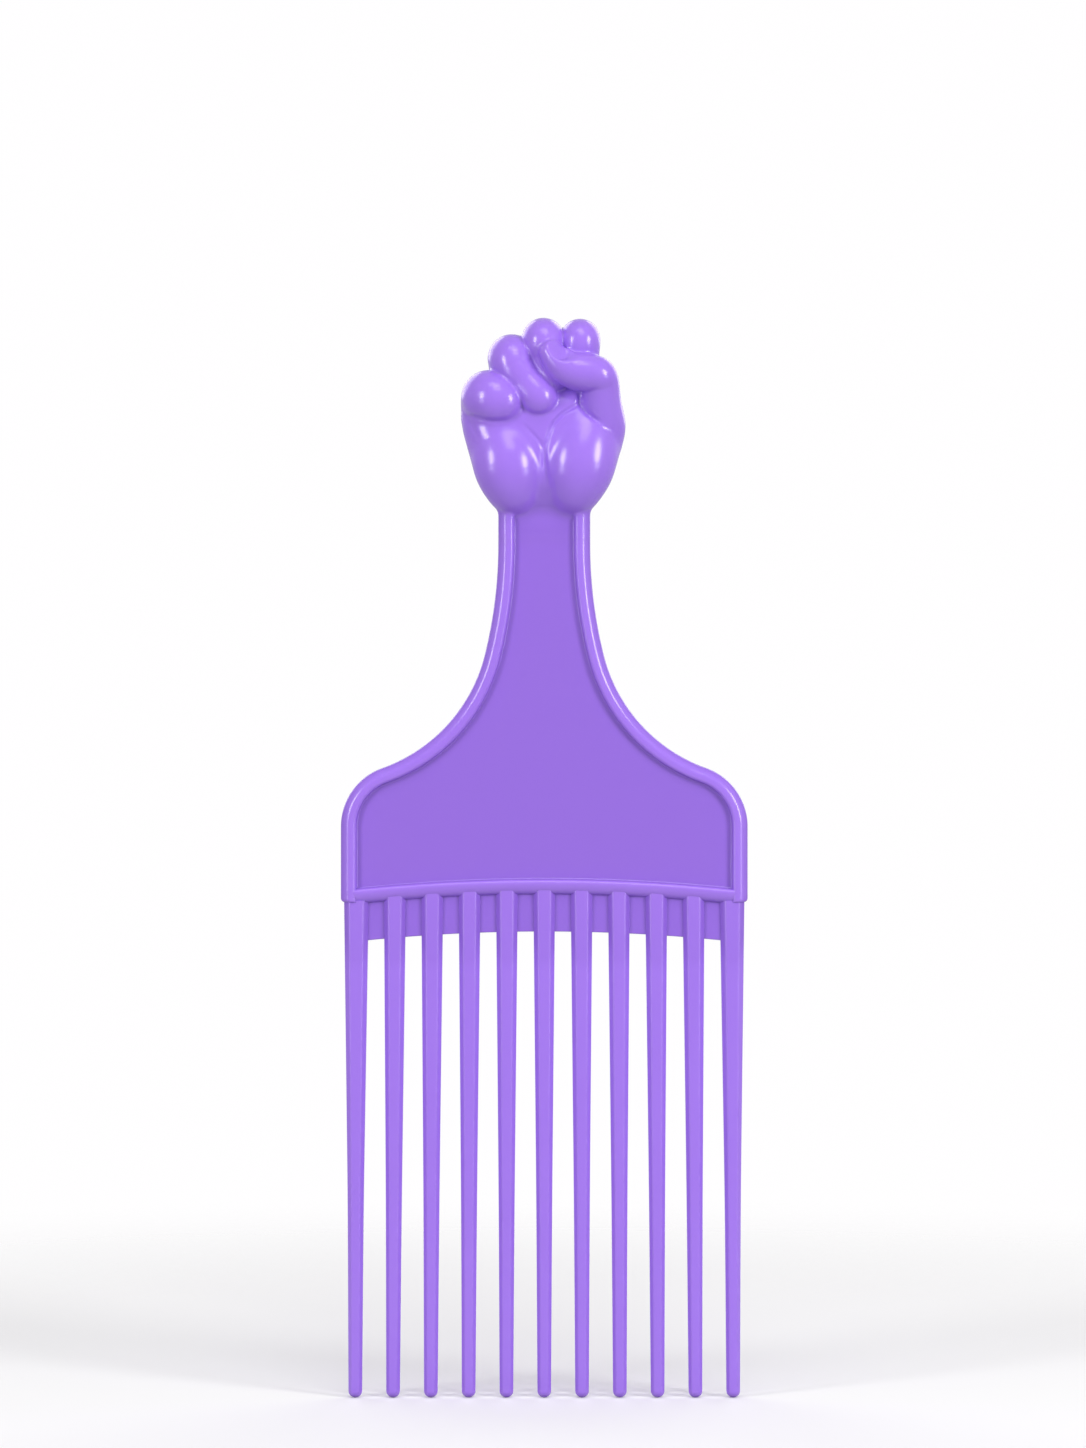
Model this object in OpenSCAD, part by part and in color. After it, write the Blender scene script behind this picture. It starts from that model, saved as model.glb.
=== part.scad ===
// A hair pick with a raised fist at the top of its handle, moulded in glossy plastic.
// Its forms are drawn in the front view: x to the right, y up the handle, z towards the viewer.
// upright() then stands them up, so that the fist is at +Z and the front faces -Y.
// The origin is the middle of the neck, where the pick is held.

/* [Handle] */
// Distance from the middle of the grip up to the foot of the hand
grip_to_hand = 15.2; // [12:0.1:20]
// Straight length of the neck below the hand
neck_straight = 5.4; // [2:0.1:9]
// Width of the neck over both rims
neck_w = 16.2; // [14:0.1:19]
// Outer radius of the long sweep below the neck
neck_r = 80.8; // [60:0.1:100]
// Angle from upright at which the long sweep gives way to the waist
sweep_angle = 14; // [8:1:20]
// Outer radius of the hollow curve at the waist
waist_r = 28.4; // [22:0.1:34]
// Outer radius of the plate's shoulder
shoulder_r = 10.9; // [8:0.1:14]
// Width of the plate over both rims
plate_w = 71.6; // [64:0.1:80]
// Straight length of the plate's side below the shoulder
plate_side = 13.6; // [10:0.1:20]

/* [Rim and panel] */
// Width of the rim bead
rim_w = 2.8; // [2.2:0.1:3.6]
// Thickness of the rim bead from front to back
rim_t = 4.4; // [3.6:0.1:6]
// Radius that rounds the long edges of the rim and the rib
bead_round = 0.9; // [0.4:0.1:1]
// Thickness of the recessed panel
panel_t = 2; // [1.2:0.1:2.4]

/* [Rib and web] */
// Width of the cross rib seen from the front
rib_w = 2.6; // [2.2:0.1:3.6]
// Thickness of the cross rib from front to back
rib_t = 4.2; // [3.4:0.1:5.8]
// Radius of the arch that the rib and the web follow
arch_r = 320; // [200:1:600]
// Depth of the root web below the rib
web_depth = 6.6; // [3:0.1:12]
// Thickness of the root web
web_t = 1.5; // [1:0.1:2]

/* [Teeth] */
// Number of teeth
tooth_count = 11; // [9:1:13]
// Length of the teeth below the foot of the rims
tooth_len = 86.9; // [60:0.1:110]
// Width of an inner tooth at its root
root_w = 3.85; // [3:0.05:4.2]
// Width of an edge tooth at its root
edge_root_w = 4.3; // [3.4:0.1:5]
// Width of a tooth at the end of its strong taper
mid_w = 2.8; // [2.2:0.1:3.2]
// Width of a tooth where its round tip begins
tip_w = 2.4; // [1.8:0.1:2.7]
// Thickness of a tooth at its root from front to back
root_t = 3.6; // [3:0.1:4]
// Thickness of a tooth at the end of its strong taper
mid_t = 2.8; // [2.2:0.1:3.2]
// Thickness of a tooth where its round tip begins
tip_t = 2.3; // [1.8:0.1:2.8]
// Distance from the outside of the rim in to the outside of an edge tooth
edge_inset = 0.6; // [0.2:0.1:1.2]
// Distance by which the tip of an edge tooth stands wider than its root
tip_splay = 0.2; // [0:0.1:1]

/* [Hand] */
// Width of the fist across the palm
hand_w = 28.8; // [24:0.1:34]
// Height of the fist from its foot to the top of the fingers
hand_h = 34.3; // [28:0.1:40]
// Depth that the fist is modelled to, from its back to the front of the thumb
hand_t = 18; // [14:0.1:22]
// Thickness of a finger across its middle joint
finger_d = 7.4; // [6.4:0.1:8.2]
// Length of the neck that is seated inside the foot of the hand
neck_seat = 3; // [2:0.1:5]

/* [Hidden] */
// Overrun of every cutting shape past the solid that it cuts
cut = 1;
// Sides of a curve on the round beads, and on the hand's fingers and palm
$fn = 64;
finger_fn = 18;
palm_fn = 28;
// Steps of the smooth path between two stations of a finger
path_steps = 2;

plate_x = plate_w / 2;
neck_x = neck_w / 2;
panel_x = plate_x - rim_w;

// The outline of a side is four pieces that meet without a corner. The shoulder's sweep
// follows from the widths, so a change of any width or radius keeps them tangent.
shoulder_cos = (shoulder_r + waist_r * cos(sweep_angle) + neck_r * (1 - cos(sweep_angle))
    - (plate_x - neck_x)) / (shoulder_r + waist_r);
shoulder_angle = acos(shoulder_cos);
neck_foot_y = grip_to_hand - neck_straight;
sweep_y = neck_foot_y - neck_r * sin(sweep_angle);
waist_y = sweep_y - waist_r * (sin(shoulder_angle) - sin(sweep_angle));
side_top_y = waist_y - shoulder_r * sin(shoulder_angle);
foot_y = side_top_y - plate_side;
neck_end_y = grip_to_hand + neck_seat;
// Half length of a palm station along the hand, as a share of its height
palm_blend_share = 0.03;
palm_foot_y = grip_to_hand - palm_blend_share * hand_h;
// Share of the panel's thickness that its tongue inside the hand keeps
tongue_share = 0.7;
tongue_t = tongue_share * panel_t;

shoulder_c = [plate_x - shoulder_r, side_top_y];
waist_c = shoulder_c + (shoulder_r + waist_r) * [cos(shoulder_angle), sin(shoulder_angle)];
neck_c = [neck_x + neck_r, neck_foot_y];

// The rib's lower edge comes down to the foot of the rims at its ends.
rib_sag = arch_r - sqrt(arch_r * arch_r - panel_x * panel_x);
rib_y = foot_y + rib_w / 2 + rib_sag;
arch_c = [0, rib_y - arch_r];
rib_half_angle = asin((panel_x + cut) / arch_r);

// Teeth: the edge teeth follow the plate, and the others share the room between them.
edge_root_x = plate_x - edge_inset - edge_root_w / 2;
edge_tip_x = edge_root_x + tip_splay;
inner_room = 2 * (edge_root_x - edge_root_w / 2) - (tooth_count - 2) * root_w;
root_pitch = root_w + inner_room / (tooth_count - 1);
tip_pitch = 2 * edge_tip_x / (tooth_count - 1);
mid_tooth = (tooth_count + 1) / 2;
// Share of the tooth's length that the strong taper takes
taper_share = 0.6;
// Share of a tooth's width that its flat front facet takes
facet_share = 0.6;
// Share of a tooth's thickness that its upright side takes below the web
side_share = 0.4;
// Height by which a tooth's upright side stands past the web at the root
side_lip = 0.3;
// Angles of the rings that round a tooth's tip
tip_angles = [22, 44, 66];

// The stations of a finger are its middle line, from the knuckle at the back to the tip.
// Each is chosen by hand: across the hand from its middle, up from its foot, forward from
// mid depth, as shares of the hand's width, height and depth, then the share of finger_d.
little_shares = [[-0.32, 0.54, -0.17, 1.00], [-0.36, 0.60, -0.10, 1.08], [-0.365, 0.60, 0.11, 1.10],
    [-0.31, 0.59, 0.23, 1.00], [-0.24, 0.565, 0.25, 0.93]];
ring_shares = [[-0.20, 0.68, -0.19, 1.00], [-0.21, 0.79, -0.11, 1.02], [-0.205, 0.79, 0.12, 1.01],
    [-0.15, 0.71, 0.24, 0.89], [-0.06, 0.605, 0.25, 0.93]];
middle_shares = [[-0.02, 0.75, -0.20, 1.00], [-0.01, 0.88, -0.13, 1.03], [0.00, 0.88, 0.10, 1.03],
    [0.03, 0.81, 0.20, 0.94], [0.07, 0.71, 0.18, 0.90]];
index_shares = [[0.21, 0.75, -0.20, 0.96], [0.215, 0.885, -0.13, 0.95], [0.215, 0.885, 0.10, 0.95],
    [0.21, 0.81, 0.18, 0.92], [0.20, 0.73, 0.15, 0.90]];
thumb_shares = [[0.345, 0.37, -0.04, 1.00], [0.36, 0.45, 0.03, 1.06], [0.355, 0.58, 0.13, 1.00],
    [0.355, 0.70, 0.22, 0.90], [0.23, 0.72, 0.32, 0.98], [0.10, 0.785, 0.33, 0.84]];
// The flesh of the palm inside the curl of the fingers, from the little finger's side across
curl_shares = [[-0.28, 0.50, 0.02, 0.90], [-0.16, 0.62, 0.02, 0.95], [0.02, 0.74, -0.04, 1.05],
    [0.20, 0.78, -0.10, 1.02], [0.22, 0.74, 0.10, 1.02]];

// The palm's stations, from the wrist to the knuckles: height, left and right, then back and
// front, as shares of the hand's height, width and depth.
palm_shares = [[0.00, -0.290, 0.290, -0.18, 0.17], [0.06, -0.315, 0.315, -0.25, 0.19],
    [0.13, -0.350, 0.350, -0.31, 0.19], [0.24, -0.415, 0.415, -0.37, 0.18],
    [0.36, -0.472, 0.463, -0.41, 0.17], [0.48, -0.507, 0.480, -0.43, 0.15],
    [0.55, -0.505, 0.470, -0.43, 0.10], [0.64, -0.400, 0.440, -0.43, 0.06],
    [0.72, -0.280, 0.400, -0.41, 0.02], [0.80, -0.120, 0.330, -0.36, -0.04]];
// The two heel mounds, with stations like a finger's
little_heel_shares = [[-0.33, 0.43, 0.05, 1.15], [-0.215, 0.33, 0.03, 1.85], [-0.17, 0.22, 0.03, 1.65],
    [-0.14, 0.11, 0.04, 1.05]];
thumb_heel_shares = [[0.24, 0.45, 0.03, 1.40], [0.225, 0.33, 0.03, 1.90], [0.17, 0.22, 0.03, 1.68],
    [0.14, 0.11, 0.04, 1.05]];

function tooth_name(i) = str("tooth_", i < 10 ? "0" : "", i);

// Stands the front view upright, with its face towards -Y.
module upright() { rotate([90, 0, 0]) children(); }

// Cross-section of a bead, with x across it and y from back to front.
module bead_section(width, thick) {
    inner = [width - 2 * bead_round, thick - 2 * bead_round];
    square([width, inner.y], center = true);
    square([inner.x, thick], center = true);
    for (x = [-1, 1], y = [-1, 1])
        translate([x * inner.x / 2, y * inner.y / 2]) circle(r = bead_round);
}

// A bead bent round centre at radius r, from one angle to the next.
module bent_bead(centre, r, from, sweep, width, thick)
    translate(centre) rotate(from) rotate_extrude(angle = sweep, $fn = 4 * $fn)
        translate([r, 0]) bead_section(width, thick);

module straight_bead(x, y_from, y_to)
    translate([x, y_from, 0]) rotate([-90, 0, 0]) linear_extrude(y_to - y_from)
        bead_section(rim_w, rim_t);

// The bead along the right-hand side of the handle, from its foot into the hand.
module side_bead() {
    straight_bead(plate_x - rim_w / 2, foot_y, side_top_y);
    bent_bead(shoulder_c, shoulder_r - rim_w / 2, 0, shoulder_angle, rim_w, rim_t);
    bent_bead(waist_c, waist_r + rim_w / 2, 180 + sweep_angle, shoulder_angle - sweep_angle,
        rim_w, rim_t);
    bent_bead(neck_c, neck_r + rim_w / 2, 180, sweep_angle, rim_w, rim_t);
    straight_bead(neck_x - rim_w / 2, neck_foot_y, neck_end_y);
}

module both_sides() {
    children();
    mirror([1, 0, 0]) children();
}

// A band across the right half of the handle, between two heights.
module band(x, y_from, y_to) translate([0, y_from]) square([x, y_to - y_from]);

// Right half of the panel between the middle and the inside of the rim, built band by band.
module half_panel() {
    waist_foot_y = waist_c.y - (waist_r + rim_w) * sin(shoulder_angle);
    sweep_foot_y = waist_c.y - (waist_r + rim_w) * sin(sweep_angle);
    intersection() {
        union() {
            band(panel_x, foot_y, side_top_y);
            band(shoulder_c.x, foot_y, waist_foot_y);
            translate(shoulder_c) circle(r = shoulder_r - rim_w, $fn = 4 * $fn);
        }
        difference() {
            band(plate_x, foot_y, waist_foot_y);
            translate(arch_c) circle(r = arch_r + rib_w / 2, $fn = 8 * $fn);
        }
    }
    difference() {
        band(plate_x, waist_foot_y, neck_foot_y);
        translate(waist_c) circle(r = waist_r + rim_w, $fn = 4 * $fn);
        intersection() {
            translate(neck_c) circle(r = neck_r + rim_w, $fn = 4 * $fn);
            band(plate_x, sweep_foot_y, neck_foot_y);
        }
    }
    band(neck_x - rim_w, neck_foot_y, palm_foot_y);
}

// The panel, with the thinner tongue that seats it in the hand.
module panel_solid() {
    linear_extrude(panel_t, center = true) both_sides() half_panel();
    translate([0, (palm_foot_y + neck_end_y) / 2, 0])
        cube([neck_w - 2 * rim_w, neck_end_y - palm_foot_y, tongue_t], center = true);
}

module rib_solid()
    bent_bead(arch_c, arch_r, 90 - rib_half_angle, 2 * rib_half_angle, rib_w, rib_t);

function tooth_root_x(i) = abs(i - mid_tooth) == mid_tooth - 1
    ? sign(i - mid_tooth) * edge_root_x
    : (i - mid_tooth) * root_pitch;
function tooth_root_w(i) = abs(i - mid_tooth) == mid_tooth - 1 ? edge_root_w : root_w;
// Height of the rib's middle line at x
function arch_y(x) = arch_c.y + sqrt(arch_r * arch_r - x * x);

// Middle, half width, half thickness and half height of the upright side at each station of
// tooth i, from inside the rib down to the start of its round tip.
function tooth_stations(i) = let (
    root_x = tooth_root_x(i),
    tip_x = (i - mid_tooth) * tip_pitch,
    mid_x = root_x + taper_share * (tip_x - root_x),
    tip_y = foot_y - tooth_len + tip_w / 2,
    mid_y = foot_y - taper_share * tooth_len,
    root_side = (web_t + side_lip) / 2)
    [[root_x, arch_y(abs(root_x)), tooth_root_w(i) / 2, root_t / 2, root_side],
     [root_x, foot_y, tooth_root_w(i) / 2, root_t / 2, root_side],
     [mid_x, mid_y, mid_w / 2, mid_t / 2, side_share * mid_t / 2],
     [tip_x, tip_y, tip_w / 2, tip_t / 2, side_share * tip_t / 2]];

// Eight-sided ring of a tooth: a flat facet front and back, and slopes down to upright sides.
function tooth_ring(s) = let (x = s[0], y = s[1], w = s[2], t = s[3], side = s[4], facet = facet_share * w)
    [[x + w, y, side], [x + facet, y, t], [x - facet, y, t], [x - w, y, side],
     [x - w, y, -side], [x - facet, y, -t], [x + facet, y, -t], [x + w, y, -side]];

// The last station again, drawn in and lowered as a round tip.
function tip_station(s, a) = [s[0], s[1] - s[2] * sin(a), s[2] * cos(a), s[3] * cos(a), s[4] * cos(a)];

// A closed solid over rings of equal count that ends in a point.
module loft_to_point(rings, point) {
    n = len(rings[0]);
    last = len(rings) - 1;
    points = concat([for (ring = rings) each ring], [point]);
    sides = [for (r = [0 : last - 1], k = [0 : n - 1])
        let (a = r * n + k, b = r * n + (k + 1) % n)
        each [[a, b, a + n], [b, b + n, a + n]]];
    tip = [for (k = [0 : n - 1]) [last * n + k, last * n + (k + 1) % n, len(points) - 1]];
    polyhedron(points, concat([[for (k = [n - 1 : -1 : 0]) k]], sides, tip));
}

module tooth_solid(i) {
    stations = tooth_stations(i);
    end = stations[len(stations) - 1];
    rings = [for (s = concat(stations, [for (a = tip_angles) tip_station(end, a)])) tooth_ring(s)];
    loft_to_point(rings, [end[0], end[1] - end[2], 0]);
}

// Outline of tooth i in the front view, down to the end of its strong taper.
module tooth_outline(i) {
    s = [for (k = [0 : 2]) tooth_stations(i)[k]];
    polygon(concat([for (k = [0 : 2]) [s[k][0] + s[k][2], s[k][1]]],
        [for (k = [2 : -1 : 0]) [s[k][0] - s[k][2], s[k][1]]]));
}

// A smooth curve through the values a, b, c and d, between b and c.
function through(a, b, c, d, t) = (2 * b + (c - a) * t + (2 * a - 5 * b + 4 * c - d) * t * t
    + (3 * b - a - 3 * c + d) * t * t * t) / 2;
function smooth_path(p) = let (n = len(p) - 1) concat(
    [for (k = [0 : n - 1], j = [0 : path_steps - 1])
        through(p[max(k - 1, 0)], p[k], p[k + 1], p[min(k + 2, n)], j / path_steps)],
    [p[n]]);

module finger_ball(s)
    translate([s[0] * hand_w, grip_to_hand + s[1] * hand_h, s[2] * hand_t])
        sphere(d = s[3] * finger_d, $fn = finger_fn);

// A finger or a mound as round flesh along a smooth middle line.
module limb(shares) {
    path = smooth_path(shares);
    for (k = [1 : len(path) - 1]) hull() {
        finger_ball(path[k - 1]);
        finger_ball(path[k]);
    }
}

// A flat slice of the palm with round ends.
module palm_station(s) {
    half = [(s[2] - s[1]) / 2 * hand_w, palm_blend_share * hand_h, (s[4] - s[3]) / 2 * hand_t];
    end_r = min(half.x, half.z);
    translate([(s[1] + s[2]) / 2 * hand_w, grip_to_hand + s[0] * hand_h, (s[3] + s[4]) / 2 * hand_t])
        for (x = [-1, 1]) translate([x * (half.x - end_r), 0, 0])
            scale([end_r, half.y, half.z]) sphere(r = 1, $fn = palm_fn);
}

module palm_solid() {
    for (k = [1 : len(palm_shares) - 1]) hull() {
        palm_station(palm_shares[k - 1]);
        palm_station(palm_shares[k]);
    }
    limb(little_heel_shares);
    limb(thumb_heel_shares);
    limb(curl_shares);
}

// The end of the handle that is seated in the hand: both rims with the panel's tongue between.
module neck_end() {
    from = palm_foot_y - cut;
    translate([0, from, 0]) rotate([-90, 0, 0]) linear_extrude(neck_end_y - from) {
        both_sides() translate([neck_x - rim_w / 2, 0]) bead_section(rim_w, rim_t);
        square([neck_w - rim_w, tongue_t], center = true);
    }
}

module palm() color("#9a70dc") upright() difference() {
    palm_solid();
    neck_end();
}
module little_finger() color("#a274e6") upright() difference() {
    limb(little_shares);
    palm_solid();
    limb(ring_shares);
}
module ring_finger() color("#a87ae8") upright() difference() {
    limb(ring_shares);
    palm_solid();
    limb(middle_shares);
    limb(thumb_shares);
}
module middle_finger() color("#a274e6") upright() difference() {
    limb(middle_shares);
    palm_solid();
    limb(index_shares);
    limb(thumb_shares);
}
module index_finger() color("#a87ae8") upright() difference() {
    limb(index_shares);
    palm_solid();
    limb(thumb_shares);
}
module thumb() color("#a87ae8") upright() difference() {
    limb(thumb_shares);
    palm_solid();
}

module handle_panel() color("#9a70dc") upright() panel_solid();
module left_rim() color("#ad83ed") upright() mirror([1, 0, 0]) side_bead();
module right_rim() color("#ad83ed") upright() side_bead();

module cross_rib() color("#a878e6") upright() difference() {
    rib_solid();
    both_sides() translate([panel_x, foot_y - cut, -rib_t])
        cube([rim_w, plate_side, 2 * rib_t]);
}

// The web fills the room between the roots of the teeth, down to its own arch.
module root_web() color("#9670dc") upright() linear_extrude(web_t, center = true) difference() {
    intersection() {
        translate(arch_c) difference() {
            circle(r = arch_r - rib_w / 2, $fn = 8 * $fn);
            circle(r = arch_r - rib_w / 2 - web_depth, $fn = 8 * $fn);
        }
        translate([-edge_root_x, foot_y - web_depth - rib_sag - cut])
            square([2 * edge_root_x, web_depth + rib_w + rib_sag + rib_sag + cut]);
    }
    for (i = [1 : tooth_count]) tooth_outline(i);
}

module tooth(i) color("#a576e8") upright() difference() {
    tooth_solid(i);
    rib_solid();
    if (abs(i - mid_tooth) == mid_tooth - 1) both_sides() side_bead();
}

palm();
little_finger();
ring_finger();
middle_finger();
index_finger();
thumb();
handle_panel();
left_rim();
right_rim();
cross_rib();
root_web();
for (i = [1 : tooth_count])
    tooth(i);
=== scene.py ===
"""Looks of the hair pick: the moulded fist, the rimmed handle, the rib, the teeth and the photo set."""

import logging
import math
from collections.abc import Iterable, Sequence
from dataclasses import dataclass
from enum import Enum
from functools import reduce

import bpy
import numpy as np
from bpy.types import Material, Node, NodeSocket, Object, World
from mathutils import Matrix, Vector


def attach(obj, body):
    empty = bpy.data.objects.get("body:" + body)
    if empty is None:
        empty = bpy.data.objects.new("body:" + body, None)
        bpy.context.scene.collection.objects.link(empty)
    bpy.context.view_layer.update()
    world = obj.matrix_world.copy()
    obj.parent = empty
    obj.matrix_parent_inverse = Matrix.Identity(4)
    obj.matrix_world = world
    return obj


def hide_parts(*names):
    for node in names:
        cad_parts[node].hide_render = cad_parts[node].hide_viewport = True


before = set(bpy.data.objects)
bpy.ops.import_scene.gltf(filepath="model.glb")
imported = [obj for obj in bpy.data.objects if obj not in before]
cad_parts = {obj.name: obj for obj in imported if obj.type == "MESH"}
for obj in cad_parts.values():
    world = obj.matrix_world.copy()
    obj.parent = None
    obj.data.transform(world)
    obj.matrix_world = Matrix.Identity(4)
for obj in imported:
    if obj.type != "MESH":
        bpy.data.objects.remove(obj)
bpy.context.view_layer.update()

LOG = logging.getLogger("hair_pick")
MM = 0.001
TINY = 1e-9
BODY = "root"
SHARP_ANGLE = math.radians(35)

Array = np.ndarray
Colour = tuple[float, float, float, float]
Station = tuple[float, float, float, float]
Triple = tuple[float, float, float]


# Shader maths


class Graph:
    """The nodes of one material or world."""

    def __init__(self, owner: Material | World) -> None:
        """Give the owner an empty tree of nodes.

        Args:
            owner: the material or world.
        """
        owner.use_nodes = True
        self.tree = owner.node_tree
        self.tree.nodes.clear()

    def node(self, kind: str, settings: dict | None = None, sockets: dict | None = None) -> Node:
        """Add a node.

        Args:
            kind: the node's type name.
            settings: properties of the node, set before its sockets.
            sockets: values or links for its inputs, by name or number.

        Returns:
            The new node.
        """
        made = self.tree.nodes.new(kind)
        for name, value in (settings or {}).items():
            setattr(made, name, value)
        for name, value in (sockets or {}).items():
            if isinstance(value, Signal):
                self.tree.links.new(value.socket, made.inputs[name])
            else:
                made.inputs[name].default_value = value
        return made

    def signal(self, node: Node, output: str | int = 0) -> "Signal":
        """Wrap one output of a node."""
        return Signal(self, node.outputs[output])

    def place(self) -> "Signal":
        """The place on the object, in metres."""
        return self.signal(self.node("ShaderNodeTexCoord"), "Object")

    def noise(self, scale: float, detail: float, roughness: float) -> "Signal":
        """A cloudy swing round one half that stays with the object."""
        sockets = {"Vector": self.place(), "Scale": scale, "Detail": detail, "Roughness": roughness}
        return self.signal(self.node("ShaderNodeTexNoise", None, sockets), "Fac")

    def between(self, value: "Signal", low: float, high: float) -> "Signal":
        """Rise softly from 0 to 1 as a value goes from low to high."""
        sockets = {"Value": value, "From Min": low, "From Max": high}
        return self.signal(self.node("ShaderNodeMapRange", {"interpolation_type": "SMOOTHSTEP"}, sockets))

    def mix(self, share: "Signal", first: object, second: object) -> "Signal":
        """Mix two colours."""
        sockets = {0: share, 6: first, 7: second}
        return self.signal(self.node("ShaderNodeMix", {"data_type": "RGBA"}, sockets), 2)

    def mix_shaders(self, share: "Signal", first: "Signal", second: "Signal") -> "Signal":
        """Mix two surfaces."""
        return self.signal(self.node("ShaderNodeMixShader", None, {0: share, 1: first, 2: second}))


class Signal:
    """A number that runs through the nodes, with the usual signs of arithmetic."""

    def __init__(self, graph: Graph, socket: NodeSocket) -> None:
        """Keep the graph and the output socket."""
        self.graph = graph
        self.socket = socket

    def _math(self, operation: str, left: object, right: object) -> "Signal":
        """Add a Math node for two values."""
        node = self.graph.node("ShaderNodeMath", {"operation": operation}, {0: left, 1: right})
        return self.graph.signal(node)

    def __add__(self, other: object) -> "Signal":
        """Sum."""
        return self._math("ADD", self, other)

    __radd__ = __add__

    def __sub__(self, other: object) -> "Signal":
        """Difference."""
        return self._math("SUBTRACT", self, other)

    def __rsub__(self, other: object) -> "Signal":
        """Difference from a number."""
        return self._math("SUBTRACT", other, self)

    def __mul__(self, other: object) -> "Signal":
        """Product."""
        return self._math("MULTIPLY", self, other)

    __rmul__ = __mul__

    def at_least(self, other: object) -> "Signal":
        """The larger of the two."""
        return self._math("MAXIMUM", self, other)


# Finishes


@dataclass(frozen=True)
class GlossyPlastic:
    """Clean moulded plastic with a faint flow in colour, gloss and surface, and painted shade on faces near
    the middle plane below the hand.
    """

    name: str = "glossy_purple_plastic"
    light: Colour = (0.330, 0.170, 0.742, 1.0)
    deep: Colour = (0.300, 0.150, 0.700, 1.0)
    # Painted shade: a darker colour on faces near the middle plane, such as the recessed panel, the web and
    # the sides of rims and teeth.
    painted_shade: Colour = (0.257, 0.124, 0.612, 1.0)
    shade_full_within: float = 0.0012
    shade_gone_beyond: float = 0.0020
    hand_from: float = 0.012
    hand_to: float = 0.020
    tooth_from: float = 0.058
    tooth_to: float = 0.066
    roughness: float = 0.22
    roughness_swing: float = 0.05
    flow_scale: float = 38.0
    flow_detail: float = 3.0
    flow_roughness: float = 0.5
    ripple_scale: float = 160.0
    ripple_detail: float = 2.0
    ripple_roughness: float = 0.4
    ripple_depth: float = 0.00003
    ior: float = 1.49
    glow_share: float = 0.12
    glow_depth: float = 0.0025
    glow_colours: Triple = (1.0, 0.6, 1.0)

    def build(self) -> Material:
        """Make the material.

        Returns:
            The material, ready to assign.
        """
        material = bpy.data.materials.new(self.name)
        graph = Graph(material)
        flow = graph.noise(self.flow_scale, self.flow_detail, self.flow_roughness)
        ripple = graph.noise(self.ripple_scale, self.ripple_detail, self.ripple_roughness)
        axes = graph.node("ShaderNodeSeparateXYZ", None, {0: graph.place()})
        forward, height = graph.signal(axes, "Y"), graph.signal(axes, "Z")
        # Painted shade near the middle plane, fading out on the hand above and on the lower teeth below.
        clear_of_shade = graph.between(forward.at_least(0.0 - forward), self.shade_full_within, self.shade_gone_beyond)
        hand = graph.between(height, self.hand_from, self.hand_to)
        tooth = graph.between(0.0 - height, self.tooth_from, self.tooth_to)
        full = clear_of_shade.at_least(hand).at_least(tooth)
        bump = graph.signal(graph.node(
            "ShaderNodeBump", None, {"Strength": 1.0, "Distance": self.ripple_depth, "Height": ripple}))
        surface = graph.node("ShaderNodeBsdfPrincipled", None, {
            "Base Color": graph.mix(full, self.painted_shade, graph.mix(flow, self.light, self.deep)),
            "Roughness": self.roughness + self.roughness_swing * (flow - 0.5),
            "IOR": self.ior,
            "Subsurface Weight": self.glow_share,
            "Subsurface Radius": self.glow_colours,
            "Subsurface Scale": self.glow_depth,
            "Normal": bump,
        })
        graph.node("ShaderNodeOutputMaterial", None, {"Surface": graph.signal(surface)})
        return material


@dataclass(frozen=True)
class PaleFloor:
    """Matt pale paper that throws little light back and fades into the background at its far edge."""

    name: str = "pale_paper"
    colour: Colour = (0.84, 0.835, 0.84, 1.0)
    thrown_colour: Colour = (0.42, 0.42, 0.42, 1.0)
    fade_from: float = 0.13
    fade_to: float = 0.34
    roughness: float = 0.9
    sheen: float = 0.1

    def build(self) -> Material:
        """Make the material.

        Returns:
            The material, ready to assign.
        """
        material = bpy.data.materials.new(self.name)
        graph = Graph(material)
        length = graph.node("ShaderNodeVectorMath", {"operation": "LENGTH"}, {0: graph.place()})
        fade = graph.between(graph.signal(length, "Value"), self.fade_from, self.fade_to)
        path = graph.node("ShaderNodeLightPath")
        seen = graph.signal(path, "Is Camera Ray").at_least(graph.signal(path, "Is Glossy Ray"))
        thrown, shown = self._paper(graph, self.thrown_colour), self._paper(graph, self.colour)
        paper = graph.mix_shaders(seen, thrown, shown)
        clear = graph.signal(graph.node("ShaderNodeBsdfTransparent"))
        graph.node("ShaderNodeOutputMaterial", None, {"Surface": graph.mix_shaders(fade, paper, clear)})
        return material

    def _paper(self, graph: Graph, colour: Colour) -> Signal:
        """Matt paper of one colour."""
        sockets = {"Base Color": colour, "Roughness": self.roughness, "Specular IOR Level": self.sheen}
        return graph.signal(graph.node("ShaderNodeBsdfPrincipled", None, sockets))


# Mesh helpers


def make_piece(name: str, points: Array, faces: list[list[int]]) -> Object:
    """Make a mesh object from points in millimetres.

    Args:
        name: the piece's name.
        points: rows of x, y and z, in millimetres, in the row frame.
        faces: the corners of each face, turning outwards.

    Returns:
        The new object, smooth shaded with its sharp edges kept.
    """
    mesh = bpy.data.meshes.new(name)
    mesh.from_pydata((points * MM).tolist(), [], faces)
    mesh.validate()
    mesh.shade_smooth()
    mesh.set_sharp_from_angle(angle=SHARP_ANGLE)
    piece = bpy.data.objects.new(name, mesh)
    bpy.context.scene.collection.objects.link(piece)
    return piece


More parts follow.
